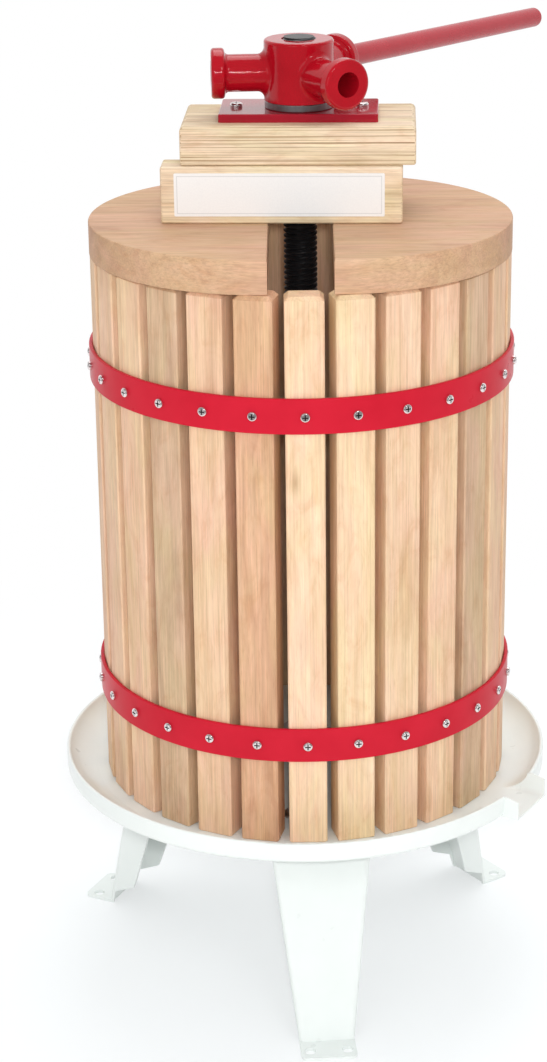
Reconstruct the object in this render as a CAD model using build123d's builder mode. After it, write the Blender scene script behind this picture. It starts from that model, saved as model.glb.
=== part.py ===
"""A basket fruit press: a legged tray, a fixed spindle, a slatted basket and a screw-down head.

Millimetres, +Z up. The spindle's axis is the Z axis and the feet stand on Z = 0.
The front of the press faces -Y.
"""
import os
from math import cos, hypot, radians, sin, sqrt, tan

from build123d import *

# Basket
slat_count = 27
slat_first_azimuth = -89.2
slat_length = 418
slat_width = 28
slat_thickness = 22.5
slat_end_bevel = 3
slat_foot_bevel = 0.8
slat_edge_bevel = 1
basket_bore_radius = 133.5
hoop_width = 26
hoop_thickness = 3
hoop_edge_round = 0.8
hoop_seat_gap = 0.05
lower_hoop_rise = 80.5
upper_hoop_rise = 333

# Hoop screws
hoop_screw_radius = 2
hoop_screw_reach = 14
hoop_screw_head_radius = 3.5
hoop_screw_head_height = 2.4
hoop_screw_head_round = 1.2
cross_slot_width = 0.9
cross_slot_depth = 1.1
cross_slot_share = 0.62

# Tray and spout
tray_floor = 162.5
sheet_thickness = 1.2
channel_width = 33
rim_height = 15.7
rim_crest_radius = 1.5
rim_wall_slope = 70
rim_skirt = 16.5
rim_curl_radius = 4
spout_azimuth = -30
spout_width = 48
spout_projection = 10
spout_root_inset = 3
spout_corner_round = 4
spout_lip_drop = 2.5

# Legs
leg_count = 3
leg_azimuth = -85
leg_thickness = 2.5
leg_rim_inset = 56
leg_splay = 40
leg_top_width = 79
leg_foot_width = 42
leg_top_flange = 34
leg_foot_flange = 18.5
leg_flange_lift = 12
leg_flange_slope = 20
leg_flange_top_gap = 4
leg_bend_round = 4
leg_tab_margin = 18
leg_tab_inset = 4
foot_tab_depth = 23
foot_hole_radius = 4.25
foot_hole_spacing = 28.5
foot_hole_offset = 13
foot_corner_round = 5

# Leg bolts
leg_bolt_radius = 4
leg_bolt_spacing = 36
leg_bolt_inset = 24
leg_bolt_slat_gap = 5.5
leg_bolt_head_radius = 8
leg_bolt_head_height = 4.4
leg_bolt_head_round = 3
leg_washer_radius = 8
leg_washer_thickness = 1.6
leg_nut_across_flats = 13
leg_nut_height = 6.5
leg_bolt_tail = 2.5

# Spindle and its anchorage
spindle_radius = 12.5
spindle_stand_proud = 1.5
spindle_end_bevel = 1.5
spindle_tail = 6
spindle_plate_radius = 55
spindle_plate_thickness = 6
spindle_washer_radius = 22
spindle_washer_thickness = 4
spindle_nut_across_flats = 36
spindle_nut_height = 19
nut_corner_bevel = 1

# Boards and blocks
board_radius = 132.2
board_thickness = 25
board_parting = 23.3
board_shift = 18
board_notch_radius = 17
board_edge_round = 1.2
front_spacer_length = 175
rear_spacer_length = 158
spacer_depth = 27
spacer_height = 42
front_spacer_x = -13
rear_spacer_x = -6
spacer_offset_y = 32.5
spacer_turn = -2.4
head_block_length = 170
head_block_depth = 86
head_block_height = 28.5
head_block_hole_radius = 14.5
head_turn = -2
block_edge_round = 2
head_block_top_round = 4
label_length = 152
label_height = 31.6
label_thickness = 0.4
label_offset_x = -1.5
label_offset_z = 0.5
label_corner_round = 1

# Head
plate_length = 115.5
plate_depth = 59
plate_thickness = 6
plate_hole_radius = 13.5
plate_edge_round = 1
plate_corner_round = 2
plate_screw_spacing = 92
plate_screw_radius = 2.5
plate_screw_reach = 18
plate_screw_head_radius = 4.6
plate_screw_head_height = 3
plate_screw_head_round = 1.6
thrust_washer_radius = 25.2
thrust_washer_bore_radius = 13
thrust_washer_thickness = 5.5
thrust_washer_edge_round = 0.8
hub_radius = 25.5
hub_height = 44
hub_top_round = 2
arm_count = 3
arm_azimuth = 63
arm_axis_height = 19.8
arm_radius = 13.5
arm_reach = 64
arm_root_round = 5
arm_flange_radius = 18.3
arm_flange_thickness = 10
arm_flange_root_round = 3
arm_flange_round = 2.5
socket_radius = 9
socket_depth = 40
lever_radius = 8.1
lever_wall = 2
lever_length = 379
lever_insertion = 22
lever_droop = 3.6
lever_swing = -2
lever_edge_round = 0.8

# Fits
shaft_clearance = 0.05
screw_clearance = 0.05
seat_clearance = 0.05

# Heights that follow from the stack
slat_top = tray_floor + slat_length
board_top = slat_top + board_thickness
spacer_top = board_top + spacer_height
head_block_top = spacer_top + head_block_height
plate_top = head_block_top + plate_thickness
hub_foot = plate_top + thrust_washer_thickness
hub_top = hub_foot + hub_height
spindle_top = hub_top + spindle_stand_proud
tray_underside = tray_floor - sheet_thickness
spindle_plate_underside = tray_underside - spindle_plate_thickness
spindle_foot = spindle_plate_underside - spindle_washer_thickness - spindle_nut_height - spindle_tail

# Radii that follow from the basket and the tray
slat_face_radius = basket_bore_radius + slat_thickness
hoop_inner_radius = hypot(slat_face_radius, slat_width / 2 - slat_edge_bevel) + hoop_seat_gap
hoop_outer_radius = hoop_inner_radius + hoop_thickness
rim_radius = slat_face_radius + channel_width
rim_crest_centre_radius = rim_radius - rim_crest_radius
rim_arcs_radius = rim_height / (1 - cos(radians(rim_wall_slope)))
rim_wall_radius = rim_arcs_radius - rim_crest_radius
rim_wall_foot_radius = rim_crest_centre_radius - rim_arcs_radius * sin(radians(rim_wall_slope))
spout_root = rim_wall_foot_radius - spout_root_inset
spout_reach = rim_radius + spout_projection
leg_top_radius = rim_radius - leg_rim_inset
leg_foot_radius = leg_top_radius + leg_splay
spindle_bore_radius = spindle_radius + shaft_clearance


def direction(azimuth):
    """Unit vector at an azimuth in the XY plane."""
    return cos(radians(azimuth)), sin(radians(azimuth)), 0


def radial_plane(azimuth, height=0):
    """Horizontal plane at a height, with its X axis pointing out along an azimuth."""
    return Plane(origin=(0, 0, height), x_dir=direction(azimuth), z_dir=(0, 0, 1))


def save(piece, name):
    """Label a finished piece and write it to its STEP file."""
    piece.label = name
    export_step(piece, f"parts/{name}.step")


os.makedirs("parts", exist_ok=True)

# Tray: a pressed sheet dish, its wall curving up to a crest that turns down into a skirt with a curled foot
crest_height = tray_floor + rim_height
crest_centre = Vector(rim_crest_centre_radius, crest_height - rim_crest_radius)
wall_centre = Vector(rim_wall_foot_radius, tray_floor + rim_wall_radius)


def on_arc(centre, radius, angle):
    """Point on an arc, its angle counted from the horizontal."""
    return centre.X + radius * cos(radians(angle)), centre.Y + radius * sin(radians(angle))


def dish_wall(crest_stop):
    """Lines of the dish's inner face: up the wall from the floor, then over the crest to an angle."""
    ThreePointArc(
        (rim_wall_foot_radius, tray_floor),
        on_arc(wall_centre, rim_wall_radius, wall_mid_angle),
        on_arc(wall_centre, rim_wall_radius, wall_end_angle),
    )
    ThreePointArc(
        on_arc(wall_centre, rim_wall_radius, wall_end_angle),
        on_arc(crest_centre, rim_crest_radius, (crest_start_angle + crest_stop) / 2),
        on_arc(crest_centre, rim_crest_radius, crest_stop),
    )


wall_end_angle = rim_wall_slope - 90
crest_start_angle = rim_wall_slope + 90
wall_mid_angle = (wall_end_angle - 90) / 2
crest_mid_angle = crest_start_angle / 2
rim_inner_radius = rim_crest_radius - sheet_thickness
skirt_foot = crest_height - rim_skirt
curl_centre = Vector(rim_radius - rim_curl_radius, skirt_foot + rim_curl_radius)
curl_mid_angle = -45

spout_plane = radial_plane(spout_azimuth, tray_underside)
spout_height = crest_height - tray_underside
spout_length = spout_reach - spout_root
leg_azimuths = [leg_azimuth + 360 * index / leg_count for index in range(leg_count)]
slat_bolt_limit = basket_bore_radius - leg_bolt_slat_gap - leg_bolt_head_radius
leg_bolt_ring = min(leg_top_radius - leg_bolt_inset, sqrt(slat_bolt_limit**2 - (leg_bolt_spacing / 2) ** 2))
leg_tab_depth = leg_top_radius - leg_bolt_ring + leg_tab_margin
leg_bolt_places = [(leg_bolt_ring, side * leg_bolt_spacing / 2) for side in (-1, 1)]

with BuildPart() as tray:
    with BuildSketch(Plane.XZ) as tray_section:
        with BuildLine():
            Line((spindle_bore_radius, tray_floor), (rim_wall_foot_radius, tray_floor))
            dish_wall(0)
            Line((rim_radius, crest_centre.Y), (rim_radius, curl_centre.Y))
            ThreePointArc(
                (rim_radius, curl_centre.Y),
                on_arc(curl_centre, rim_curl_radius, curl_mid_angle),
                (curl_centre.X, skirt_foot),
            )
            Line((curl_centre.X, skirt_foot), (curl_centre.X, skirt_foot + sheet_thickness))
            ThreePointArc(
                (curl_centre.X, skirt_foot + sheet_thickness),
                on_arc(curl_centre, rim_curl_radius - sheet_thickness, curl_mid_angle),
                (rim_radius - sheet_thickness, curl_centre.Y),
            )
            Line((rim_radius - sheet_thickness, curl_centre.Y), (rim_radius - sheet_thickness, crest_centre.Y))
            ThreePointArc(
                (rim_radius - sheet_thickness, crest_centre.Y),
                on_arc(crest_centre, rim_inner_radius, crest_mid_angle),
                on_arc(crest_centre, rim_inner_radius, crest_start_angle),
            )
            ThreePointArc(
                on_arc(crest_centre, rim_inner_radius, crest_start_angle),
                on_arc(wall_centre, rim_wall_radius + sheet_thickness, wall_mid_angle),
                (rim_wall_foot_radius, tray_underside),
            )
            Line((rim_wall_foot_radius, tray_underside), (spindle_bore_radius, tray_underside))
            Line((spindle_bore_radius, tray_underside), (spindle_bore_radius, tray_floor))
        make_face()
    revolve(axis=Axis.Z)
    with BuildSketch(spout_plane):
        with Locations((spout_root, 0)):
            Rectangle(spout_length, spout_width, align=(Align.MIN, Align.CENTER))
    extrude(amount=2 * spout_height, both=True, mode=Mode.SUBTRACT)
    for azimuth in leg_azimuths:
        with BuildSketch(radial_plane(azimuth, tray_underside)):
            with Locations(*leg_bolt_places):
                Circle(leg_bolt_radius + shaft_clearance)
        extrude(amount=sheet_thickness, mode=Mode.SUBTRACT)
save(tray.part, "tray")

# Spout: a straight trough let into a gap in the rim, flush with the dish inside, its lip sloping to the tip
with BuildPart() as spout:
    with BuildSketch(spout_plane):
        with Locations((spout_root, 0)):
            Rectangle(spout_length, spout_width, align=(Align.MIN, Align.CENTER))
    extrude(amount=spout_height)
    with BuildSketch(spout_plane.offset(sheet_thickness)):
        with Locations((spout_root, 0)):
            Rectangle(spout_length, spout_width - 2 * sheet_thickness, align=(Align.MIN, Align.CENTER))
    extrude(amount=spout_height, mode=Mode.SUBTRACT)
    lip_plane = Plane(origin=(0, 0, 0), x_dir=direction(spout_azimuth), z_dir=direction(spout_azimuth - 90))
    with BuildSketch(lip_plane):
        with BuildLine():
            Polyline(
                (rim_radius, crest_height),
                (spout_reach, crest_height - spout_lip_drop),
                (spout_reach, crest_height + spout_lip_drop),
                (rim_radius, crest_height + spout_lip_drop),
                close=True,
            )
        make_face()
    extrude(amount=spout_width, both=True, mode=Mode.SUBTRACT)
    trough_floor = spout.faces().filter_by(Axis.Z).group_by(Axis.Z)[1]
    trough_line = Axis((0, 0, 0), direction(spout_azimuth))
    fillet(trough_floor.edges().filter_by(trough_line), spout_corner_round)
    with BuildSketch(Plane.XZ):
        with BuildLine():
            Line((spout_root, tray_floor), (rim_wall_foot_radius, tray_floor))
            dish_wall(90)
            Polyline(
                (rim_crest_centre_radius, crest_height),
                (rim_crest_centre_radius, crest_height + spout_lip_drop),
                (spout_root - spout_width, crest_height + spout_lip_drop),
                (spout_root - spout_width, tray_floor),
                (spout_root, tray_floor),
            )
        make_face()
    revolve(axis=Axis.Z, mode=Mode.SUBTRACT)
save(spout.part, "spout")

# Legs: tapered sheet channels, bent in at the top under the tray and out at the foot
leg_sections = (
    (0, leg_foot_radius, leg_foot_width, leg_foot_flange),
    (tray_underside, leg_top_radius, leg_top_width, leg_top_flange),
)
leg_names = ("leg_front", "leg_right", "leg_left")

for name, azimuth in zip(leg_names, leg_azimuths):
    outward = Axis((0, 0, 0), direction(azimuth))
    with BuildPart() as leg:
        for height, radius, width, flange in leg_sections:
            with BuildSketch(radial_plane(azimuth, height)):
                with Locations((radius, 0)):
                    Rectangle(flange, width, align=(Align.MAX, Align.CENTER))
        loft(ruled=True)
        upright_edges = leg.edges().filter_by(lambda edge: abs(edge.tangent_at(0.5).Z) > 0.5)
        fillet(upright_edges.sort_by(outward)[-2:], leg_bend_round)
        for height, radius, width, flange in leg_sections:
            with BuildSketch(radial_plane(azimuth, height)):
                with Locations((radius - leg_thickness, 0)):
                    Rectangle(2 * flange, width - 2 * leg_thickness, align=(Align.MAX, Align.CENTER))
        loft(ruled=True, mode=Mode.SUBTRACT)
        side_plane = Plane(origin=(0, 0, 0), x_dir=direction(azimuth), z_dir=direction(azimuth - 90))
        with BuildSketch(side_plane):
            with BuildLine():
                foot_inside = leg_foot_radius - leg_thickness - 2 * leg_foot_flange
                foot_rise = 2 * leg_foot_flange * tan(radians(leg_flange_slope))
                bend_foot = leg_foot_radius - leg_bend_round
                bend_lean = leg_splay / tray_underside
                Polyline(
                    (bend_foot, 0),
                    (bend_foot - bend_lean * leg_flange_lift, leg_flange_lift),
                    (foot_inside, leg_flange_lift + foot_rise),
                    (foot_inside, 0),
                    close=True,
                )
            make_face()
            with Locations((leg_top_radius - leg_bend_round, tray_underside)):
                Rectangle(2 * leg_top_flange, leg_flange_top_gap + leg_thickness, align=(Align.MAX, Align.MAX))
        extrude(amount=leg_top_width, both=True, mode=Mode.SUBTRACT)
        with BuildSketch(radial_plane(azimuth, tray_underside)):
            with Locations((leg_top_radius, 0)):
                Rectangle(leg_tab_depth, leg_top_width - 2 * leg_tab_inset, align=(Align.MAX, Align.CENTER))
            with Locations(*leg_bolt_places):
                Circle(leg_bolt_radius + shaft_clearance, mode=Mode.SUBTRACT)
        extrude(amount=-leg_thickness)
        with BuildSketch(radial_plane(azimuth)) as foot_outline:
            with Locations((leg_foot_radius - leg_thickness, 0)):
                Rectangle(foot_tab_depth + leg_thickness, leg_foot_width, align=(Align.MIN, Align.CENTER))
            fillet(foot_outline.vertices().sort_by(Axis((0, 0, 0), (1, 0, 0)))[-2:], foot_corner_round)
            with Locations((leg_foot_radius + foot_hole_offset, 0)):
                with GridLocations(0, foot_hole_spacing, 1, 2):
                    Circle(foot_hole_radius, mode=Mode.SUBTRACT)
        extrude(amount=leg_thickness)
    save(leg.part, name)

# Leg bolts with round heads on the tray floor, and their washers and nuts under the leg tabs
tab_underside = tray_underside - leg_thickness
leg_nut_top = tab_underside - leg_washer_thickness
leg_nut_foot = leg_nut_top - leg_nut_height
leg_bolt_foot = leg_nut_foot - leg_bolt_tail

with BuildPart() as leg_bolts:
    for azimuth in leg_azimuths:
        with BuildSketch(radial_plane(azimuth, leg_bolt_foot)):
            with Locations(*leg_bolt_places):
                Circle(leg_bolt_radius)
        extrude(amount=tray_floor - leg_bolt_foot)
        with BuildSketch(radial_plane(azimuth, tray_floor)):
            with Locations(*leg_bolt_places):
                Circle(leg_bolt_head_radius)
        extrude(amount=leg_bolt_head_height)
    head_rims = leg_bolts.edges().filter_by(GeomType.CIRCLE).group_by(Axis.Z)[-1]
    fillet(head_rims, leg_bolt_head_round)
save(leg_bolts.part, "leg_bolts")

with BuildPart() as leg_washers:
    for azimuth in leg_azimuths:
        with BuildSketch(radial_plane(azimuth, leg_nut_top)):
            with Locations(*leg_bolt_places):
                Circle(leg_washer_radius)
                Circle(leg_bolt_radius + shaft_clearance, mode=Mode.SUBTRACT)
        extrude(amount=leg_washer_thickness)
save(leg_washers.part, "leg_washers")

with BuildPart() as leg_nuts:
    for azimuth in leg_azimuths:
        with BuildSketch(radial_plane(azimuth, leg_nut_foot)):
            with Locations(*leg_bolt_places):
                RegularPolygon(leg_nut_across_flats / 2, 6, major_radius=False)
                Circle(leg_bolt_radius + shaft_clearance, mode=Mode.SUBTRACT)
        extrude(amount=leg_nut_height)
save(leg_nuts.part, "leg_nuts")

# Spindle: the screw rod, anchored through the tray and a steel plate by two nuts
with BuildPart() as spindle:
    with BuildSketch(Plane.XY.offset(spindle_foot)):
        Circle(spindle_radius)
    extrude(amount=spindle_top - spindle_foot)
    chamfer(spindle.edges().filter_by(GeomType.CIRCLE), spindle_end_bevel)
save(spindle.part, "spindle")

with BuildPart() as spindle_plate:
    with BuildSketch(Plane.XY.offset(spindle_plate_underside)):
        Circle(spindle_plate_radius)
        Circle(spindle_bore_radius, mode=Mode.SUBTRACT)
    extrude(amount=spindle_plate_thickness)
save(spindle_plate.part, "spindle_plate")

upper_nut_foot = tray_floor + spindle_washer_thickness
lower_washer_foot = spindle_plate_underside - spindle_washer_thickness
anchor_pieces = (
    ("upper", tray_floor, upper_nut_foot),
    ("lower", lower_washer_foot, lower_washer_foot - spindle_nut_height),
)

for end, washer_foot, nut_foot in anchor_pieces:
    with BuildPart() as anchor_washer:
        with BuildSketch(Plane.XY.offset(washer_foot)):
            Circle(spindle_washer_radius)
            Circle(spindle_bore_radius, mode=Mode.SUBTRACT)
        extrude(amount=spindle_washer_thickness)
    save(anchor_washer.part, f"spindle_{end}_washer")

    with BuildPart() as anchor_nut:
        with BuildSketch(Plane.XY.offset(nut_foot)):
            RegularPolygon(spindle_nut_across_flats / 2, 6, major_radius=False)
        extrude(amount=spindle_nut_height)
        chamfer(anchor_nut.edges().filter_by(Plane.XY), nut_corner_bevel)
        with BuildSketch(Plane.XY.offset(nut_foot)):
            Circle(spindle_bore_radius)
        extrude(amount=spindle_nut_height, mode=Mode.SUBTRACT)
    save(anchor_nut.part, f"spindle_{end}_nut")

# Slats: bevelled strips standing on the tray floor in a ring, each drilled for its two screws
slat_step = 360 / slat_count
slat_mid_radius = basket_bore_radius + slat_thickness / 2
slat_levels = (
    (0, slat_foot_bevel),
    (slat_foot_bevel, 0),
    (slat_length - slat_end_bevel, 0),
    (slat_length, slat_end_bevel),
)
hoop_rises = {"lower": lower_hoop_rise, "upper": upper_hoop_rise}

for index in range(slat_count):
    slat_plane = radial_plane(slat_first_azimuth + index * slat_step, tray_floor)
    with BuildPart(slat_plane) as slat:
        for rise, inset in slat_levels:
            with BuildSketch(slat_plane.offset(rise)) as slat_section:
                with Locations((slat_mid_radius, 0)):
                    Rectangle(slat_thickness - 2 * inset, slat_width - 2 * inset)
                chamfer(slat_section.vertices(), slat_edge_bevel)
        loft(ruled=True)
        with Locations(*[(slat_face_radius, 0, rise) for rise in hoop_rises.values()]):
            Cylinder(
                hoop_screw_radius + screw_clearance,
                hoop_screw_reach,
                rotation=(0, -90, 0),
                align=(Align.CENTER, Align.CENTER, Align.MIN),
                mode=Mode.SUBTRACT,
            )
    save(slat.part, f"slat_{index + 1:02d}")

# Hoops: drilled steel strips round the slats, each with its ring of cross-head screws
for level, rise in hoop_rises.items():
    hoop_plane = Plane.XY.offset(tray_floor + rise)
    with BuildPart(hoop_plane) as hoop:
        with BuildSketch(hoop_plane):
            Circle(hoop_outer_radius)
            Circle(hoop_inner_radius, mode=Mode.SUBTRACT)
        extrude(amount=hoop_width / 2, both=True)
        fillet(hoop.edges(), hoop_edge_round)
        with PolarLocations(slat_mid_radius, slat_count, slat_first_azimuth):
            Cylinder(
                hoop_screw_radius + screw_clearance,
                hoop_outer_radius - slat_mid_radius + hoop_thickness,
                rotation=(0, 90, 0),
                align=(Align.CENTER, Align.CENTER, Align.MIN),
                mode=Mode.SUBTRACT,
            )
    save(hoop.part, f"{level}_hoop")

    screw_tip_radius = slat_face_radius - hoop_screw_reach
    screw_face_radius = hoop_outer_radius + hoop_screw_head_height
    with BuildPart(hoop_plane) as hoop_screws:
        with PolarLocations(hoop_outer_radius, slat_count, slat_first_azimuth):
            Cylinder(
                hoop_screw_head_radius,
                hoop_screw_head_height,
                rotation=(0, 90, 0),
                align=(Align.CENTER, Align.CENTER, Align.MIN),
            )
        head_rims = hoop_screws.edges().filter_by(
            lambda edge: hypot(edge.center().X, edge.center().Y) > hoop_outer_radius + hoop_screw_head_height / 2
            and edge.geom_type == GeomType.CIRCLE
        )
        fillet(head_rims, hoop_screw_head_round)
        with PolarLocations(screw_tip_radius, slat_count, slat_first_azimuth):
            Cylinder(
                hoop_screw_radius,
                hoop_outer_radius - screw_tip_radius,
                rotation=(0, 90, 0),
                align=(Align.CENTER, Align.CENTER, Align.MIN),
            )
        cross_slot_length = 2 * hoop_screw_head_radius * cross_slot_share
        with PolarLocations(screw_face_radius, slat_count, slat_first_azimuth):
            Box(2 * cross_slot_depth, cross_slot_length, cross_slot_width, mode=Mode.SUBTRACT)
            Box(2 * cross_slot_depth, cross_slot_width, cross_slot_length, mode=Mode.SUBTRACT)
    save(hoop_screws.part, f"{level}_hoop_screws")

# Boards: two half discs, notched for the spindle, drawn apart and forward on the slat ends
for name, side in (("board_left", -1), ("board_right", 1)):
    with BuildPart() as board:
        with BuildSketch(Plane((side * board_parting, -board_shift, slat_top))):
            Circle(board_radius)
            Rectangle(
                board_radius,
                2 * board_radius,
                align=(Align.MIN if side < 0 else Align.MAX, Align.CENTER),
                mode=Mode.SUBTRACT,
            )
            Circle(board_notch_radius, mode=Mode.SUBTRACT)
        extrude(amount=board_thickness)
        fillet(board.edges().filter_by(Plane.XY), board_edge_round)
    save(board.part, name)

# Spacer blocks: a loose pair across the boards, one each side of the spindle
spacer_foot = board_top + seat_clearance
front_spacer_axes = Plane((front_spacer_x, -spacer_offset_y, spacer_foot)).rotated((0, 0, spacer_turn))
rear_spacer_axes = Plane((rear_spacer_x, spacer_offset_y, spacer_foot)).rotated((0, 0, spacer_turn))
spacers = (
    ("front_block", front_spacer_axes, front_spacer_length),
    ("rear_block", rear_spacer_axes, rear_spacer_length),
)

for name, spacer_axes, spacer_length in spacers:
    with BuildPart() as spacer:
        with BuildSketch(spacer_axes):
            Rectangle(spacer_length, spacer_depth)
        extrude(amount=spacer_height - 2 * seat_clearance)
        fillet(spacer.edges(), block_edge_round)
    save(spacer.part, name)

# Label: a blank white card stuck on the front of the front block
label_place = (label_offset_x, -spacer_depth / 2, spacer_height / 2 + label_offset_z)
label_plane = Plane(
    origin=front_spacer_axes.from_local_coords(label_place),
    x_dir=front_spacer_axes.x_dir,
    z_dir=-front_spacer_axes.y_dir,
)

with BuildPart() as label:
    with BuildSketch(label_plane):
        RectangleRounded(label_length, label_height, label_corner_round)
    extrude(amount=label_thickness)
save(label.part, "label")

# Head block and pressure plate, turned a little about the spindle and screwed together
head_axes = Plane.XY.rotated((0, 0, head_turn))
plate_screw_places = [(side * plate_screw_spacing / 2, 0) for side in (-1, 1)]
plate_screw_foot = plate_top - plate_thickness - plate_screw_reach

with BuildPart() as head_block:
    with BuildSketch(head_axes.offset(spacer_top)):
        Rectangle(head_block_length, head_block_depth)
    extrude(amount=head_block_height)
    fillet(head_block.edges().filter_by(Axis.Z), block_edge_round)
    fillet(head_block.faces().sort_by(Axis.Z)[-1].edges(), head_block_top_round)
    fillet(head_block.faces().sort_by(Axis.Z)[0].edges(), block_edge_round)
    with BuildSketch(head_axes.offset(spacer_top)):
        Circle(head_block_hole_radius)
    extrude(amount=head_block_height, mode=Mode.SUBTRACT)
    with BuildSketch(head_axes.offset(head_block_top)):
        with Locations(*plate_screw_places):
            Circle(plate_screw_radius + screw_clearance)
    extrude(amount=-plate_screw_reach, mode=Mode.SUBTRACT)
save(head_block.part, "head_block")

with BuildPart() as pressure_plate:
    with BuildSketch(head_axes.offset(head_block_top)):
        RectangleRounded(plate_length, plate_depth, plate_corner_round)
    extrude(amount=plate_thickness)
    fillet(pressure_plate.edges().group_by(Axis.Z)[-1], plate_edge_round)
    with BuildSketch(head_axes.offset(head_block_top)):
        Circle(plate_hole_radius)
        with Locations(*plate_screw_places):
            Circle(plate_screw_radius + screw_clearance)
    extrude(amount=plate_thickness, mode=Mode.SUBTRACT)
save(pressure_plate.part, "pressure_plate")

with BuildPart() as plate_screws:
    with BuildSketch(head_axes.offset(plate_top)):
        with Locations(*plate_screw_places):
            Circle(plate_screw_head_radius)
    extrude(amount=plate_screw_head_height)
    fillet(plate_screws.edges().group_by(Axis.Z)[-1], plate_screw_head_round)
    with BuildSketch(head_axes.offset(plate_screw_foot)):
        with Locations(*plate_screw_places):
            Circle(plate_screw_radius)
    extrude(amount=plate_top - plate_screw_foot)
    plate_slot_length = 2 * plate_screw_head_radius * cross_slot_share
    with BuildSketch(head_axes.offset(plate_top + plate_screw_head_height)):
        with Locations(*plate_screw_places):
            Rectangle(plate_slot_length, cross_slot_width)
            Rectangle(cross_slot_width, plate_slot_length)
    extrude(amount=-cross_slot_depth, mode=Mode.SUBTRACT)
save(plate_screws.part, "plate_screws")

# Thrust washer: the steel ring that the nut bears on
with BuildPart() as thrust_washer:
    with BuildSketch(Plane.XY.offset(plate_top)):
        Circle(thrust_washer_radius)
    extrude(amount=thrust_washer_thickness)
    fillet(thrust_washer.edges(), thrust_washer_edge_round)
    with BuildSketch(Plane.XY.offset(plate_top)):
        Circle(thrust_washer_bore_radius)
    extrude(amount=thrust_washer_thickness, mode=Mode.SUBTRACT)
save(thrust_washer.part, "thrust_washer")

# Press nut: a cast hub with three flanged lever sockets
arm_height = hub_foot + arm_axis_height

with BuildPart() as press_nut:
    with BuildSketch(Plane.XY.offset(hub_foot)):
        Circle(hub_radius)
    extrude(amount=hub_height)
    fillet(press_nut.edges().group_by(Axis.Z)[-1], hub_top_round)
    arm_plane = Plane.XY.offset(arm_height)
    with Locations(arm_plane):
        with PolarLocations(0, arm_count, arm_azimuth):
            Cylinder(
                arm_radius,
                arm_reach,
                rotation=(0, 90, 0),
                align=(Align.CENTER, Align.CENTER, Align.MIN),
            )
    arm_roots = press_nut.edges().filter_by(lambda edge: edge.geom_type not in (GeomType.CIRCLE, GeomType.LINE))
    fillet(arm_roots, arm_root_round)
    with Locations(arm_plane):
        with PolarLocations(arm_reach, arm_count, arm_azimuth):
            Cylinder(
                arm_flange_radius,
                arm_flange_thickness,
                rotation=(0, 90, 0),
                align=(Align.CENTER, Align.CENTER, Align.MAX),
            )
    flange_roots = press_nut.edges().filter_by(
        lambda edge: edge.geom_type == GeomType.CIRCLE and abs(edge.radius - arm_radius) < shaft_clearance
    )
    fillet(flange_roots, arm_flange_root_round)
    flange_rims = press_nut.edges().filter_by(
        lambda edge: edge.geom_type == GeomType.CIRCLE and abs(edge.radius - arm_flange_radius) < shaft_clearance
    )
    fillet(flange_rims, arm_flange_round)
    with Locations(arm_plane):
        with PolarLocations(arm_reach, arm_count, arm_azimuth):
            Cylinder(
                socket_radius,
                socket_depth,
                rotation=(0, 90, 0),
                align=(Align.CENTER, Align.CENTER, Align.MAX),
                mode=Mode.SUBTRACT,
            )
    with BuildSketch(Plane.XY.offset(hub_foot)):
        Circle(spindle_bore_radius)
    extrude(amount=hub_height, mode=Mode.SUBTRACT)
save(press_nut.part, "press_nut")

# Lever: a steel tube that droops and swings a little in its loose socket
lever_pivot_radius = arm_reach - lever_insertion / 2
arm_x, arm_y, _ = direction(arm_azimuth)
lever_x, lever_y, _ = direction(arm_azimuth + lever_swing)
lever_direction = Vector(
    lever_x * cos(radians(lever_droop)),
    lever_y * cos(radians(lever_droop)),
    -sin(radians(lever_droop)),
)
lever_pivot = Vector(arm_x * lever_pivot_radius, arm_y * lever_pivot_radius, arm_height)
lever_end = lever_pivot - lever_direction * (lever_insertion / 2)

with BuildPart() as lever:
    with BuildSketch(Plane(origin=lever_end, z_dir=lever_direction)):
        Circle(lever_radius)
        Circle(lever_radius - lever_wall, mode=Mode.SUBTRACT)
    extrude(amount=lever_length)
    fillet(lever.edges().filter_by(GeomType.CIRCLE), lever_edge_round)
save(lever.part, "lever")
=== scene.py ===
"""Looks of the basket fruit press: wood, paint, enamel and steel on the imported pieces,
the screw thread on the spindle, and the studio that the press stands in.
Lengths are in metres, in the press's own frame: +Z up the spindle, -Y to the front.
"""
from math import atan, pi, radians

import bpy
import numpy as np
from mathutils import Euler, Matrix, Vector


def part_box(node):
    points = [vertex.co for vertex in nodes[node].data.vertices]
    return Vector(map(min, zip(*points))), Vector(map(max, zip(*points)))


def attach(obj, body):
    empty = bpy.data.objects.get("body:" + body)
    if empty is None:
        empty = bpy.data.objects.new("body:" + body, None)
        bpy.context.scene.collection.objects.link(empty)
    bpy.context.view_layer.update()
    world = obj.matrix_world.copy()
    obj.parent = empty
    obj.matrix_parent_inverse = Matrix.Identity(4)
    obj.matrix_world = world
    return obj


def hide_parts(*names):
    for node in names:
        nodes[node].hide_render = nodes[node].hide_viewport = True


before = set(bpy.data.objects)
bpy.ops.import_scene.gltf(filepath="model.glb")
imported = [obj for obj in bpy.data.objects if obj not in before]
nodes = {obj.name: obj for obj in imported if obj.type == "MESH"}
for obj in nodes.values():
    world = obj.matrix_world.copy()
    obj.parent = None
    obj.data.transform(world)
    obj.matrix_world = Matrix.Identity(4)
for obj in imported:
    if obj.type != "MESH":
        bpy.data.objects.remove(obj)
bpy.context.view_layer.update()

# Picture and camera
PICTURE_WIDTH = 547
PICTURE_HEIGHT = 1062
FOCAL_PIXELS = 2598.5
AXIS_PIXEL_X = 305.0
CAMERA_PLACE = (0.0, -1.8839, 1.0545)
CAMERA_PITCH = 0.3571
CAMERA_ROLL = -0.0131

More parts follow.
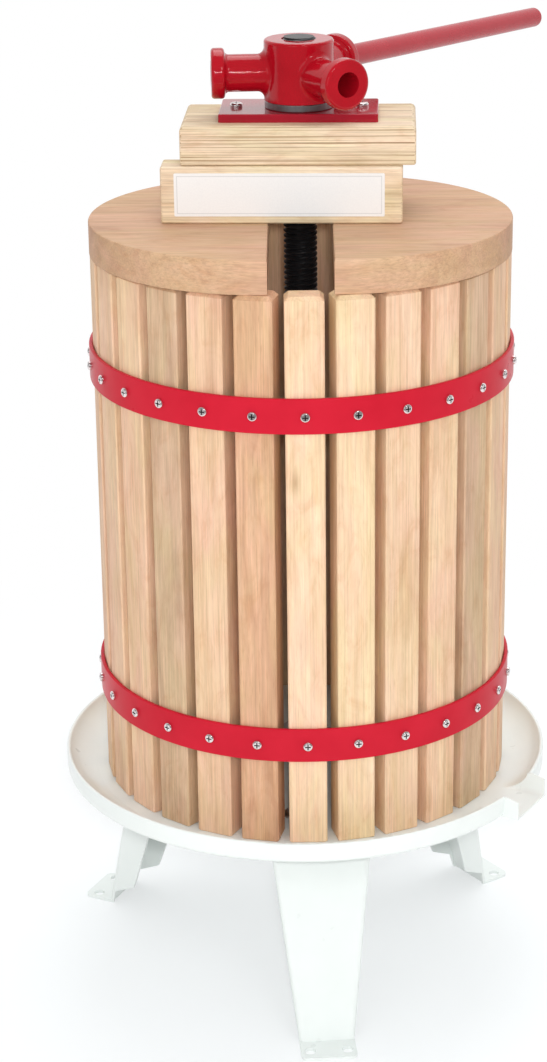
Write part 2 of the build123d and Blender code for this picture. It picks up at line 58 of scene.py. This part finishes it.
# Spindle thread
THREAD_PITCH = 0.004
THREAD_DEPTH = 0.0017
THREAD_CREST = 0.30
THREAD_ROOT = 0.26
THREAD_STEPS_ROUND = 40
THREAD_STEPS_PITCH = 8
SPINDLE_END_BEVEL = 0.0015

# Hoop screws
SLAT_COUNT = 27
SLAT_TURN = -89.2 / 360.0
SLOT_START = 0.0003
SLOT_HALF_LENGTH = 0.0022
# Painted shade: a near-black colour laid into the screws' cross slots, standing in for the shadow in the
# recess.
SLOT_PAINTED_SHADE = (0.045, 0.035, 0.035, 1.0)

# Studio light
FLOOR_GLOW = 0.42
FLOOR_SHADE = (0.56, 0.58, 0.59, 1.0)
FLOOR_NEAR = 0.35
FLOOR_FAR = 0.85
FLOOR_HALF_SIZE = 12.0
FLOOR_PLAIN = 0.85
FLOOR_ROOM_START = -0.55
FLOOR_ROOM_STOP = -1.3
SKY_ROOM_START = 0.60
SKY_ROOM_STOP = -0.10
ROOM_DIM = 0.72
SKY_LIGHT = 0.74

# Label
LABEL_MARGIN = 0.0022
LABEL_LINE = 0.0006
LABEL_LINE_SHARE = 0.45
LABEL_LINE_GREY = 0.45
TOOTH_SCALE = 900.0
TOOTH_BUMP = 0.05
TOOTH_HEIGHT = 0.0002

# Wood pattern
GRAIN_ALONG = {"X": 0, "Y": 1, "Z": 2}
UMBER_SHARES = (0.62, 0.50, 0.40)
WARM_STOPS = ((0.34, (1.03, 1.03, 1.0)), (0.52, (1.0, 0.97, 0.94)), (0.70, (0.93, 0.84, 0.77)))
TINT_STOPS = ((0.38, (1.03, 0.99, 1.02)), (0.62, (0.98, 1.01, 0.93)))
SAWN_TINT = (0.91, 0.86, 0.81, 1.0)
SAWN_FACING = 0.60
SAWN_SLOPE = 3.5
RING_SHARE = 0.16
SAWN_RING_SHARE = 0.5
KNOT_SHARPNESS = 6.0
KNOT_SHARE = 0.85
PORE_SHARE = 0.34
PORE_DEPTH = 0.7
WOOD_SPECULAR = 0.25
FIBRE_BUMP = 0.16
FIBRE_HEIGHT = 0.0004

# Paint and steel patterns
PATCH_SCALE = 22.0
SMEAR_SCALE = 70.0
SMEAR_SPREAD = 0.12
COAT_ROUGHNESS = 0.06
PEEL_HEIGHT = 0.0004
MOTTLE_SCALE = 260.0
MOTTLE_SPREAD = 0.2
MOTTLE_BUMP = 0.06
MOTTLE_HEIGHT = 0.0003


def add(tree, kind, settings=None, values=None, **sockets):
    """Add one shader node: its settings, its unnamed inputs in order, and its named inputs."""
    made = tree.nodes.new(kind)
    for key, value in (settings or {}).items():
        setattr(made, key, value)
    for place, value in enumerate(values or ()):
        plug(tree, made.inputs[place], value)
    for key, value in sockets.items():
        plug(tree, made.inputs[key.replace("_", " ")], value)
    return made


def plug(tree, socket, value):
    """Link a node's output to a socket, or set the socket's own value."""
    if isinstance(value, bpy.types.NodeSocket):
        tree.links.new(value, socket)
    else:
        socket.default_value = value


def math(tree, operation, *values, clamp=False):
    """One arithmetic node, returned as its output."""
    made = add(tree, "ShaderNodeMath", {"operation": operation, "use_clamp": clamp}, values)
    return made.outputs[0]


def ramp(tree, factor, *stops):
    """A colour ramp through stops of (place, colour), returned as its colour output."""
    made = add(tree, "ShaderNodeValToRGB", values=[factor])
    elements = made.color_ramp.elements
    while len(elements) < len(stops):
        elements.new(0.5)
    for element, (place, colour) in zip(elements, stops):
        element.position = place
        element.color = colour if len(colour) == 4 else (*colour, 1.0)
    return made.outputs["Color"]


def grey(value):
    """A neutral colour of that brightness."""
    return (value, value, value, 1.0)


def blend_colour(tree, factor, first, second, mode="MIX"):
    """Mix two colours by a factor, returned as the colour output."""
    made = add(tree, "ShaderNodeMix", {"data_type": "RGBA", "blend_type": mode})
    plug(tree, made.inputs["Factor"], factor)
    plug(tree, made.inputs["A"], first)
    plug(tree, made.inputs["B"], second)
    return made.outputs["Result"]


def new_finish(name):
    """A material with an empty tree, its surface shader and the piece's own coordinates."""
    material = bpy.data.materials.new(name)
    material.use_nodes = True
    tree = material.node_tree
    tree.nodes.clear()
    shader = tree.nodes.new("ShaderNodeBsdfPrincipled")
    output = tree.nodes.new("ShaderNodeOutputMaterial")
    tree.links.new(shader.outputs["BSDF"], output.inputs["Surface"])
    place = tree.nodes.new("ShaderNodeTexCoord").outputs["Object"]
    return material, tree, shader, place


def stretched(tree, place, scale, location=(0.0, 0.0, 0.0), turn=(0.0, 0.0, 0.0)):
    """Coordinates scaled by three factors, after a turn and a shift."""
    made = add(tree, "ShaderNodeMapping", Vector=place, Location=location, Rotation=turn, Scale=scale)
    return made.outputs["Vector"]


def noise(tree, vector, detail=2.0, roughness=0.5, distortion=0.0):
    """Fractal noise at a place, from 0 to 1."""
    made = add(
        tree, "ShaderNodeTexNoise",
        Vector=vector, Scale=1.0, Detail=detail, Roughness=roughness, Distortion=distortion,
    )
    return made.outputs["Fac"]


def speckle(tree, place, scale, detail, roughness=0.6):
    """Noise that is equally fine in every direction."""
    return noise(tree, stretched(tree, place, (scale, scale, scale)), detail, roughness)


def along_grain(grain, across, along):
    """Scale factors that are fine across the grain and long along it."""
    scale = [across, across, across]
    scale[GRAIN_ALONG[grain]] = along
    return tuple(scale)


def wood(name, tones, grain, shift=(0.0, 0.0, 0.0), turn=0.0, streak=0.4, seams=0.12, knots=0.16, fine=1.0):
    """Planed hardwood as a solid pattern drawn out along the grain: a cloudy drift between three tones,
    warm blotches, growth rings round a far pith, brown streaks, thin dark seams, fine fibres, pores and a
    few knots. Sawn ends, found by how far the surface faces along the grain, are browner, with clear rings
    and no seams. tones runs pale, middle, dark. fine draws the streaks and seams closer together."""
    material, tree, shader, place = new_finish(name)
    pale, middle, dark = tones
    umber = (*(part * share for part, share in zip(dark, UMBER_SHARES)), 1.0)
    moved = stretched(tree, place, (1.0, 1.0, 1.0), shift, (0.0, 0.0, turn))

    def figure(across, along, offset=(0.0, 0.0, 0.0), detail=2.0, roughness=0.5, distortion=0.0):
        drawn = stretched(tree, moved, along_grain(grain, across, along), offset)
        return noise(tree, drawn, detail, roughness, distortion)

    def above(value, level, slope):
        return math(tree, "MULTIPLY", math(tree, "SUBTRACT", value, level), slope, clamp=True)

    normal = tree.nodes.new("ShaderNodeTexCoord").outputs["Normal"]
    facing = add(tree, "ShaderNodeSeparateXYZ", values=[normal])
    end = above(math(tree, "ABSOLUTE", facing.outputs[GRAIN_ALONG[grain]]), SAWN_FACING, SAWN_SLOPE)
    side = math(tree, "SUBTRACT", 1.0, end)
    cloud = figure(44.0, 6.5, detail=4.0, roughness=0.62, distortion=0.9)
    tone = ramp(tree, cloud, (0.32, pale), (0.50, middle), (0.72, dark))
    blotch = figure(58.0, 24.0, (0.4, 0.9, 0.6), detail=5.0, roughness=0.62, distortion=1.6)
    tone = blend_colour(tree, 1.0, tone, ramp(tree, blotch, *WARM_STOPS), "MULTIPLY")
    drift = figure(30.0, 9.0, (0.8, 0.3, 0.1), detail=3.0, roughness=0.6, distortion=0.8)
    tone = blend_colour(tree, 1.0, tone, ramp(tree, drift, *TINT_STOPS), "MULTIPLY")
    rings = add(
        tree, "ShaderNodeTexWave",
        {"wave_type": "RINGS", "rings_direction": grain, "wave_profile": "SAW"},
        Vector=stretched(tree, moved, along_grain(grain, 1.0, 0.09), (0.21, 0.17, 0.13)),
        Scale=38.0, Distortion=11.0, Detail=3.0, Detail_Scale=5.0, Detail_Roughness=0.65,
    ).outputs["Fac"]
    ring_share = math(tree, "MULTIPLY_ADD", end, SAWN_RING_SHARE, RING_SHARE)
    late = math(tree, "MULTIPLY", math(tree, "POWER", rings, 3.0), ring_share)
    sawn = blend_colour(tree, 1.0, tone, SAWN_TINT, "MULTIPLY")
    tone = blend_colour(tree, end, tone, sawn)
    tone = blend_colour(tree, late, tone, (*dark, 1.0))
    brown = above(figure(210.0 * fine, 5.0, detail=3.0, roughness=0.6, distortion=0.3), 0.56, 5.0)
    patches = above(figure(36.0, 8.0, (0.7, 0.2, 0.5)), 0.44, 4.0)
    brown = math(tree, "MULTIPLY", math(tree, "MULTIPLY", brown, patches), side)
    tone = blend_colour(tree, math(tree, "MULTIPLY", brown, streak), tone, umber)
    seam = above(figure(640.0 * fine, 3.4, (0.1, 0.5, 0.8), distortion=0.2), 0.54, 12.0)
    seam = math(tree, "MULTIPLY", seam, side)
    tone = blend_colour(tree, math(tree, "MULTIPLY", seam, seams), tone, umber)
    knot_place = stretched(tree, moved, along_grain(grain, 30.0, 11.0), (0.3, 0.6, 0.2))
    cells = add(
        tree, "ShaderNodeTexVoronoi", {"feature": "F1"},
        Vector=knot_place, Scale=1.0, Randomness=1.0,
    )
    chosen = add(tree, "ShaderNodeSeparateColor", values=[cells.outputs["Color"]]).outputs["Red"]
    chosen = math(tree, "LESS_THAN", chosen, knots)
    away = math(tree, "MULTIPLY", cells.outputs["Distance"], KNOT_SHARPNESS)
    knot = math(tree, "SUBTRACT", 1.0, away, clamp=True)
    knot = math(tree, "MULTIPLY", math(tree, "POWER", knot, 1.5), chosen)
    tone = blend_colour(tree, math(tree, "MULTIPLY", knot, KNOT_SHARE), tone, umber)
    fibre = figure(760.0, 16.0, detail=3.0, roughness=0.65)
    fibre_shade = ramp(tree, fibre, (0.30, grey(0.84)), (0.68, grey(1.06)))
    tone = blend_colour(tree, 1.0, tone, fibre_shade, "MULTIPLY")
    pores = above(figure(1700.0, 80.0, detail=1.0), 0.62, 6.0)
    tone = blend_colour(tree, math(tree, "MULTIPLY", pores, PORE_SHARE), tone, umber)
    plug(tree, shader.inputs["Base Color"], tone)
    plug(tree, shader.inputs["Roughness"], math(tree, "MULTIPLY_ADD", fibre, 0.16, 0.46))
    shader.inputs["Specular IOR Level"].default_value = WOOD_SPECULAR
    height = math(tree, "SUBTRACT", fibre, math(tree, "MULTIPLY", pores, PORE_DEPTH))
    bump = add(tree, "ShaderNodeBump", Strength=FIBRE_BUMP, Distance=FIBRE_HEIGHT, Height=height)
    plug(tree, shader.inputs["Normal"], bump.outputs["Normal"])
    return material


def paint(name, colour, deep, roughness, coat, level, peel, peel_scale=420.0):
    """Gloss paint: one colour that darkens a little in patches, under a clear coat with faint orange peel.
    level is the specular level under the coat, peel the strength of the orange peel."""
    material, tree, shader, place = new_finish(name)
    patch = speckle(tree, place, PATCH_SCALE, detail=3.0)
    plug(tree, shader.inputs["Base Color"], ramp(tree, patch, (0.35, colour), (0.75, deep)))
    smear = speckle(tree, place, SMEAR_SCALE, detail=2.0)
    gloss = math(tree, "MULTIPLY_ADD", smear, SMEAR_SPREAD, roughness - SMEAR_SPREAD / 2)
    plug(tree, shader.inputs["Roughness"], gloss)
    shader.inputs["Coat Weight"].default_value = coat
    shader.inputs["Coat Roughness"].default_value = COAT_ROUGHNESS
    shader.inputs["Specular IOR Level"].default_value = level
    ripple = speckle(tree, place, peel_scale, detail=1.0, roughness=0.5)
    bump = add(tree, "ShaderNodeBump", Strength=peel, Distance=PEEL_HEIGHT, Height=ripple)
    plug(tree, shader.inputs["Normal"], bump.outputs["Normal"])
    plug(tree, shader.inputs["Coat Normal"], bump.outputs["Normal"])
    return material


def length(tree, first, second):
    """Length of a flat vector from its two parts."""
    squares = [math(tree, "POWER", part, 2.0) for part in (first, second)]
    return math(tree, "SQRT", math(tree, "ADD", *squares))


def hoop_screw_slots(tree, place):
    """1 in the cross slots of the hoop screws, 0 elsewhere: where the surface lies deeper than the heads'
    flat faces, near a screw's axis. The axes are counted round the hoop, at the height of its middle. This
    mask places the painted shade in the slots."""
    across, ahead, up = add(tree, "ShaderNodeSeparateXYZ", values=[place]).outputs
    reach = length(tree, across, ahead)
    turns = math(tree, "DIVIDE", math(tree, "ARCTAN2", ahead, across), 2.0 * pi)
    steps = math(tree, "MULTIPLY", math(tree, "SUBTRACT", turns, SLAT_TURN), SLAT_COUNT)
    beside = math(tree, "SUBTRACT", math(tree, "FRACT", math(tree, "ADD", steps, SLAT_COUNT + 0.5)), 0.5)
    beside = math(tree, "MULTIPLY", beside, math(tree, "MULTIPLY", reach, 2.0 * pi / SLAT_COUNT))
    lower, upper = (sum(corner[2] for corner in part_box(hoop)) / 2 for hoop in ("lower_hoop", "upper_hoop"))
    from_middle = math(tree, "ABSOLUTE", math(tree, "SUBTRACT", up, (lower + upper) / 2))
    above = math(tree, "SUBTRACT", from_middle, (upper - lower) / 2)
    near_axis = math(tree, "LESS_THAN", length(tree, beside, above), SLOT_HALF_LENGTH)
    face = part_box("upper_hoop_screws")[1][0] - SLOT_START
    return math(tree, "MULTIPLY", near_axis, math(tree, "LESS_THAN", reach, face))


def steel(name, colour, worn, roughness, metallic=1.0, slots=None):
    """Bare or plated steel with a fine mottle in its colour and its gloss, and painted shade in its slots.
    """
    material, tree, shader, place = new_finish(name)
    mottle = speckle(tree, place, MOTTLE_SCALE, detail=4.0)
    tone = ramp(tree, mottle, (0.35, colour), (0.70, worn))
    if slots:
        # Painted shade: the slot mask darkens the colour inside the cross slots, where shadow falls.
        tone = blend_colour(tree, slots(tree, place), tone, SLOT_PAINTED_SHADE)
    plug(tree, shader.inputs["Base Color"], tone)
    gloss = math(tree, "MULTIPLY_ADD", mottle, MOTTLE_SPREAD, roughness - MOTTLE_SPREAD / 2)
    plug(tree, shader.inputs["Roughness"], gloss)
    shader.inputs["Metallic"].default_value = metallic
    bump = add(tree, "ShaderNodeBump", Strength=MOTTLE_BUMP, Distance=MOTTLE_HEIGHT, Height=mottle)
    plug(tree, shader.inputs["Normal"], bump.outputs["Normal"])
    return material


def dress(material, *names):
    """Put a finish on every material slot of the named CAD pieces."""
    for name in names:
        for place in nodes[name].material_slots:
            place.material = material


def grid_mesh(name, points, wrap=False):
    """Mesh from a grid of points (rows by columns by 3): each cell is one quad. wrap closes each row."""
    rows, columns, _ = points.shape
    index = np.arange(rows * columns).reshape(rows, columns)
    if wrap:
        index = np.concatenate([index, index[:, :1]], axis=1)
    faces = np.stack([index[:-1, :-1], index[:-1, 1:], index[1:, 1:], index[1:, :-1]], axis=-1)
    mesh = bpy.data.meshes.new(name)
    mesh.from_pydata(points.reshape(-1, 3).tolist(), [], faces.reshape(-1, 4).tolist())
    mesh.update()
    return mesh


def new_piece(name, mesh, body, finish):
    """Place a finished mesh in the scene, riding on a body of the press."""
    mesh.materials.append(finish)
    made = bpy.data.objects.new(name, mesh)
    bpy.context.scene.collection.objects.link(made)
    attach(made, body)
    return made


def thread_profile(phase):
    """Depth of the thread at a phase from 0 to 1 of its pitch: flat crest, straight flank, flat root,
    straight flank back, as a fraction from 0 at the crest to 1 at the root."""
    flank = (1.0 - THREAD_CREST - THREAD_ROOT) / 2.0
    crest = THREAD_CREST / 2
    stations = [0.0, crest, crest + flank, 1.0 - crest - flank, 1.0 - crest, 1.0]
    return np.interp(phase, stations, [0.0, 0.0, 1.0, 1.0, 0.0, 0.0])


def spindle_mesh():
    """The screw spindle: radius = R - depth * profile((z / pitch) - (angle / turn)), a right-hand helix,
    drawn in to the bevel at both ends, with the end rows gathered on the axis to close it."""
    low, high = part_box("spindle")
    radius = (high[0] - low[0]) / 2
    rows = int((high[2] - low[2]) / THREAD_PITCH * THREAD_STEPS_PITCH)
    height = np.linspace(low[2], high[2], rows)[:, None]
    angle = np.linspace(0.0, 2.0 * pi, THREAD_STEPS_ROUND, endpoint=False)[None, :]
    phase = np.mod(height / THREAD_PITCH - angle / (2.0 * pi), 1.0)
    reach = radius - THREAD_DEPTH * thread_profile(phase)
    end_distance = np.minimum(height - low[2], high[2] - height)
    reach = np.minimum(reach, radius - SPINDLE_END_BEVEL + end_distance)
    rise = np.broadcast_to(height, reach.shape)
    points = np.stack([reach * np.cos(angle), reach * np.sin(angle), rise], axis=-1)
    foot = np.zeros((1, THREAD_STEPS_ROUND, 3))
    foot[..., 2] = low[2]
    crown = np.zeros((1, THREAD_STEPS_ROUND, 3))
    crown[..., 2] = high[2]
    return grid_mesh("spindle_thread", np.concatenate([foot, points, crown]), wrap=True)


# Wood
CREAM = ((0.91, 0.69, 0.50), (0.88, 0.65, 0.46), (0.79, 0.55, 0.36))
LEMON = ((0.90, 0.70, 0.49), (0.86, 0.65, 0.44), (0.75, 0.54, 0.34))
BLOND = ((0.87, 0.65, 0.47), (0.82, 0.59, 0.41), (0.71, 0.48, 0.31))
PINK = ((0.87, 0.63, 0.45), (0.81, 0.56, 0.39), (0.69, 0.45, 0.30))
TAN = ((0.89, 0.65, 0.46), (0.83, 0.58, 0.40), (0.69, 0.45, 0.29))
RUSSET = ((0.80, 0.53, 0.36), (0.70, 0.44, 0.28), (0.52, 0.30, 0.18))
ASH = ((0.73, 0.54, 0.37), (0.65, 0.46, 0.31), (0.50, 0.34, 0.22))
STRAW = ((0.88, 0.76, 0.57), (0.83, 0.70, 0.51), (0.66, 0.52, 0.35))
BOARD = ((0.69, 0.46, 0.31), (0.64, 0.41, 0.27), (0.53, 0.33, 0.21))

slat_finishes = {
    "C": wood("slat_cream", CREAM, "Z", (0.00, 0.00, 0.0), streak=0.25),
    "L": wood("slat_lemon", LEMON, "Z", (0.23, 0.61, 0.2), streak=0.30),
    "B": wood("slat_blond", BLOND, "Z", (0.57, 0.37, 0.6), streak=0.35),
    "P": wood("slat_pink", PINK, "Z", (0.37, 0.11, 0.3), streak=0.40),
    "T": wood("slat_tan", TAN, "Z", (0.13, 0.51, 0.7), streak=0.50),
    "R": wood("slat_russet", RUSSET, "Z", (0.83, 0.77, 0.4), streak=0.60, knots=0.35),
    "A": wood("slat_ash", ASH, "Z", (0.71, 0.29, 1.1), streak=0.60),
}
SLAT_ORDER = "CLBTAPTCLPTABPTLAPTCPTPTAPR"
for number, letter in enumerate(SLAT_ORDER):
    dress(slat_finishes[letter], f"slat_{number + 1:02d}")

board_finish = wood("board_wood", BOARD, "X", (0.2, 0.4, 0.1), streak=0.40, seams=0.15, knots=0.05)
dress(board_finish, "board_left", "board_right")
spacer_finish = wood(
    "spacer_wood", STRAW, "X", (0.5, 0.1, 0.2),
    turn=radians(2.4), streak=0.3, seams=0.35, knots=0.0, fine=1.6,
)
dress(spacer_finish, "front_block", "rear_block")
head_finish = wood(
    "head_block_wood", STRAW, "X", (0.9, 0.3, 0.05),
    turn=radians(2.0), streak=0.8, seams=0.95, knots=0.0, fine=1.7,
)
dress(head_finish, "head_block")

# Paint and enamel
hoop_finish = paint(
    "hoop_red", (0.60, 0.014, 0.034), (0.53, 0.010, 0.026),
    roughness=0.30, coat=0.06, level=0.08, peel=0.05,
)
dress(hoop_finish, "lower_hoop", "upper_hoop")
nut_finish = paint(
    "nut_red", (0.44, 0.005, 0.014), (0.36, 0.003, 0.010),
    roughness=0.14, coat=0.4, level=0.15, peel=0.24, peel_scale=170.0,
)
dress(nut_finish, "press_nut")
plate_finish = paint(
    "plate_red", (0.38, 0.006, 0.022), (0.31, 0.005, 0.016),
    roughness=0.16, coat=0.38, level=0.24, peel=0.16,
)
dress(plate_finish, "pressure_plate")
lever_finish = paint(
    "lever_red", (0.46, 0.026, 0.040), (0.41, 0.020, 0.032),
    roughness=0.26, coat=0.10, level=0.15, peel=0.06,
)
dress(lever_finish, "lever")
enamel = paint(
    "white_enamel", (0.845, 0.89, 0.87), (0.815, 0.86, 0.84),
    roughness=0.30, coat=0.3, level=0.4, peel=0.05, peel_scale=160.0,
)
dress(enamel, "tray", "spout", "leg_front", "leg_left", "leg_right")


def label_card():
    """Coated white card with a fine tooth and a thin grey line round its edge, drawn by distance
    from the label's middle along the block and up it."""
    material, tree, shader, place = new_finish("label_card")
    low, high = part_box("label")
    middle = [(a + b) / 2 for a, b in zip(low, high)]
    turned = stretched(tree, place, (1.0, 1.0, 1.0), [-m for m in middle])
    across, _, up = add(tree, "ShaderNodeSeparateXYZ", values=[turned]).outputs
    half_width = (high[0] - low[0]) / 2 - LABEL_MARGIN
    half_height = (high[2] - low[2]) / 2 - LABEL_MARGIN
    beside = math(tree, "SUBTRACT", math(tree, "ABSOLUTE", across), half_width)
    above = math(tree, "SUBTRACT", math(tree, "ABSOLUTE", up), half_height)
    nearest = math(tree, "ABSOLUTE", math(tree, "MAXIMUM", beside, above))
    line = math(tree, "LESS_THAN", nearest, LABEL_LINE / 2)
    tooth = speckle(tree, place, TOOTH_SCALE, detail=2.0)
    card = ramp(tree, tooth, (0.35, (0.87, 0.87, 0.865)), (0.70, (0.84, 0.84, 0.84)))
    line_share = math(tree, "MULTIPLY", line, LABEL_LINE_SHARE)
    edged = blend_colour(tree, line_share, card, grey(LABEL_LINE_GREY))
    plug(tree, shader.inputs["Base Color"], edged)
    plug(tree, shader.inputs["Roughness"], math(tree, "MULTIPLY_ADD", tooth, 0.15, 0.42))
    bump = add(tree, "ShaderNodeBump", Strength=TOOTH_BUMP, Distance=TOOTH_HEIGHT, Height=tooth)
    plug(tree, shader.inputs["Normal"], bump.outputs["Normal"])
    return material


dress(label_card(), "label")

# Steel
zinc = steel("zinc_plate", (0.62, 0.62, 0.63), (0.52, 0.53, 0.55), 0.34)
dress(zinc, "leg_bolts", "leg_nuts", "leg_washers", "spindle_plate")
dress(zinc, "spindle_upper_nut", "spindle_upper_washer", "spindle_lower_nut", "spindle_lower_washer")
# Partly painted reflection: the plating's brightness is its own, but the pink tint stands in for the red
# paint mirrored in the steel.
bright = steel("bright_plate", (0.84, 0.78, 0.78), (0.70, 0.65, 0.65), 0.20)
dress(bright, "plate_screws")
# Partly painted reflection: the pink tint stands in for the red hoops mirrored in the screw heads. The slot
# mask adds painted shade in the cross slots.
slotted = steel("slotted_plate", (0.90, 0.84, 0.84), (0.76, 0.70, 0.70), 0.20, slots=hoop_screw_slots)
dress(slotted, "lower_hoop_screws", "upper_hoop_screws")
washer_finish = steel("turned_steel", (0.36, 0.34, 0.35), (0.28, 0.26, 0.27), 0.38)
dress(washer_finish, "thrust_washer")
black_oxide = steel("black_oxide", (0.012, 0.012, 0.013), (0.022, 0.022, 0.024), 0.36, metallic=0.4)

spindle = new_piece("spindle_thread", spindle_mesh(), "stand", black_oxide)
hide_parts("spindle")


# Studio
def smooth_step(tree, value, start, stop):
    """A soft step of a value from 0 at start to 1 at stop."""
    inputs = [value, start, stop, 0.0, 1.0]
    made = add(tree, "ShaderNodeMapRange", {"interpolation_type": "SMOOTHSTEP"}, inputs)
    return made.outputs["Result"]


def mirror_rays(tree):
    """The light path's outputs for camera rays, and for rays that gloss or glass sends on."""
    ray = tree.nodes.new("ShaderNodeLightPath").outputs
    return ray["Is Camera Ray"], math(tree, "MAXIMUM", ray["Is Glossy Ray"], ray["Is Transmission Ray"])


def studio_floor():
    """A flat white floor. To the camera it is nearly white by itself and keeps the press's soft shadow.
    Gloss shows it white round the press and dim in front, where the room is. To other light it is plain."""
    corners = np.array([[[-1.0, -1.0, 0.0], [1.0, -1.0, 0.0]], [[-1.0, 1.0, 0.0], [1.0, 1.0, 0.0]]])
    mesh = grid_mesh("studio_floor", FLOOR_HALF_SIZE * corners)
    material = bpy.data.materials.new("floor_white")
    material.use_nodes = True
    tree = material.node_tree
    tree.nodes.clear()
    camera, mirrored = mirror_rays(tree)
    seen = math(tree, "MAXIMUM", camera, mirrored)
    place = tree.nodes.new("ShaderNodeTexCoord").outputs["Object"]
    ahead = add(tree, "ShaderNodeSeparateXYZ", values=[place]).outputs["Y"]
    distance = add(tree, "ShaderNodeVectorMath", {"operation": "LENGTH"}, [place]).outputs["Value"]
    near = smooth_step(tree, distance, FLOOR_FAR, FLOOR_NEAR)
    room = smooth_step(tree, ahead, FLOOR_ROOM_START, FLOOR_ROOM_STOP)
    dim = math(tree, "MULTIPLY", room, math(tree, "MULTIPLY", mirrored, ROOM_DIM))
    bright_floor = math(tree, "SUBTRACT", 1.0, math(tree, "MULTIPLY", near, 1.0 - FLOOR_GLOW))
    strength = math(tree, "SUBTRACT", bright_floor, dim)
    glow = add(tree, "ShaderNodeEmission", Color=grey(1.0), Strength=strength)
    shade = add(tree, "ShaderNodeBsdfDiffuse", Color=blend_colour(tree, near, grey(0.0), FLOOR_SHADE))
    pale = add(tree, "ShaderNodeAddShader", values=[glow.outputs[0], shade.outputs[0]])
    plain = add(tree, "ShaderNodeBsdfDiffuse", Color=grey(FLOOR_PLAIN))
    mixed = add(tree, "ShaderNodeMixShader", values=[seen, plain.outputs[0], pale.outputs[0]])
    output = tree.nodes.new("ShaderNodeOutputMaterial")
    tree.links.new(mixed.outputs[0], output.inputs["Surface"])
    mesh.materials.append(material)
    floor = bpy.data.objects.new("studio_floor", mesh)
    bpy.context.scene.collection.objects.link(floor)


def studio_sky():
    """White to the camera. Gloss shows it white behind and above, and dim in front, where the room is.
    As a light it is softer."""
    world = bpy.data.worlds.new("studio_sky")
    world.use_nodes = True
    tree = world.node_tree
    tree.nodes.clear()
    camera, mirrored = mirror_rays(tree)
    place = tree.nodes.new("ShaderNodeTexCoord").outputs["Generated"]
    ahead = add(tree, "ShaderNodeSeparateXYZ", values=[place]).outputs["Y"]
    room = smooth_step(tree, ahead, SKY_ROOM_START, SKY_ROOM_STOP)
    gloss = math(tree, "SUBTRACT", 1.0, math(tree, "MULTIPLY", room, ROOM_DIM))
    strength = math(tree, "ADD", camera, math(tree, "MULTIPLY", mirrored, gloss))
    diffuse = math(tree, "SUBTRACT", 1.0, math(tree, "MAXIMUM", camera, mirrored))
    strength = math(tree, "ADD", strength, math(tree, "MULTIPLY", diffuse, SKY_LIGHT))
    back = add(tree, "ShaderNodeBackground", Color=grey(1.0), Strength=strength)
    output = tree.nodes.new("ShaderNodeOutputWorld")
    tree.links.new(back.outputs[0], output.inputs["Surface"])
    bpy.context.scene.world = world


def softbox(name, place, aim, size, power, mirrored=True):
    """A square area light at a place, facing a point. One that isn't mirrored gives no glint of its own."""
    lamp = bpy.data.lights.new(name, "AREA")
    lamp.size = size
    lamp.energy = power
    made = bpy.data.objects.new(name, lamp)
    made.location = place
    made.visible_glossy = mirrored
    made.rotation_euler = (Vector(aim) - Vector(place)).to_track_quat("-Z", "Y").to_euler()
    bpy.context.scene.collection.objects.link(made)


def studio_camera():
    """The photograph's camera: its focal length in picture pixels, pitched down and turned a bit left."""
    lens = bpy.data.cameras.new("studio_camera")
    lens.sensor_fit = "AUTO"
    lens.sensor_width = 36.0
    lens.lens = FOCAL_PIXELS / PICTURE_HEIGHT * lens.sensor_width
    lens.clip_end = 100.0
    made = bpy.data.objects.new("studio_camera", lens)
    made.location = CAMERA_PLACE
    turn = atan((AXIS_PIXEL_X - PICTURE_WIDTH / 2) / FOCAL_PIXELS)
    aim = Euler((pi / 2 - CAMERA_PITCH, 0.0, turn)).to_matrix()
    made.rotation_euler = (aim @ Matrix.Rotation(CAMERA_ROLL, 3, "Z")).to_euler()
    bpy.context.scene.collection.objects.link(made)
    bpy.context.scene.camera = made


studio_floor()
studio_sky()
softbox("key_light", (0.75, -2.3, 2.2), aim=(0.0, 0.0, 0.4), size=0.6, power=8.0)
softbox("flash_light", (0.03, -1.90, 1.11), aim=(0.0, 0.0, 0.4), size=0.08, power=11.0, mirrored=False)
softbox("glint_light", (0.10, -1.90, 1.16), aim=(0.0, 0.0, 0.6), size=0.05, power=0.8)
softbox("fill_light", (-0.9, -2.3, 1.2), aim=(0.0, 0.0, 0.4), size=1.2, power=4.0)
softbox("top_light", (0.2, 0.9, 2.6), aim=(0.0, 0.0, 0.5), size=1.6, power=20.0)
studio_camera()
bpy.context.scene.view_settings.view_transform = "Standard"
